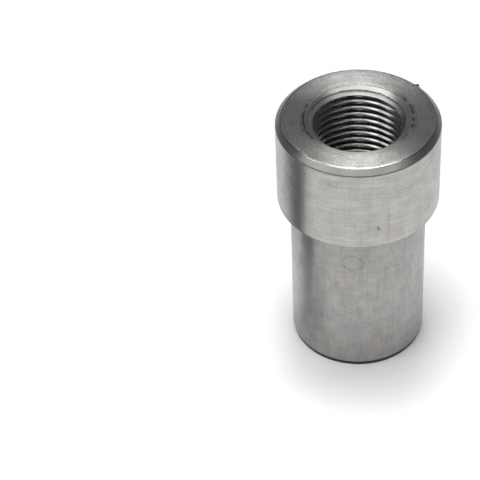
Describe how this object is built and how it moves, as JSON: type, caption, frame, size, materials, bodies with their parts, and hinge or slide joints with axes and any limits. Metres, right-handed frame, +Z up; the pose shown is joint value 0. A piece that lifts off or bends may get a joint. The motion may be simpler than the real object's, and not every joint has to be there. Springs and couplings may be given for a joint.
{
  "type": "weld bung",
  "caption": "Round steel weld bung: a narrow shank slides into a tube end, a wide collar stops on it, and a threaded bore runs through both.",
  "frame": {"origin": "centre of the foot, the flat end of the shank that goes into the tube and that the bung stands on", "axes": "+Z runs up the bore's axis, from the shank's foot to the collar's mouth, where the threaded rod leaves; the part is round about Z, so X and Y are free"},
  "size_m": [0.0318, 0.0318, 0.054],
  "materials": {
    "turned_steel": "bare mild steel, fine turned, with lathe marks, small pits and faint stains"
  },
  "bodies": {
    "root": {"bung_body": "turned_steel"}
  },
  "joints": []
}
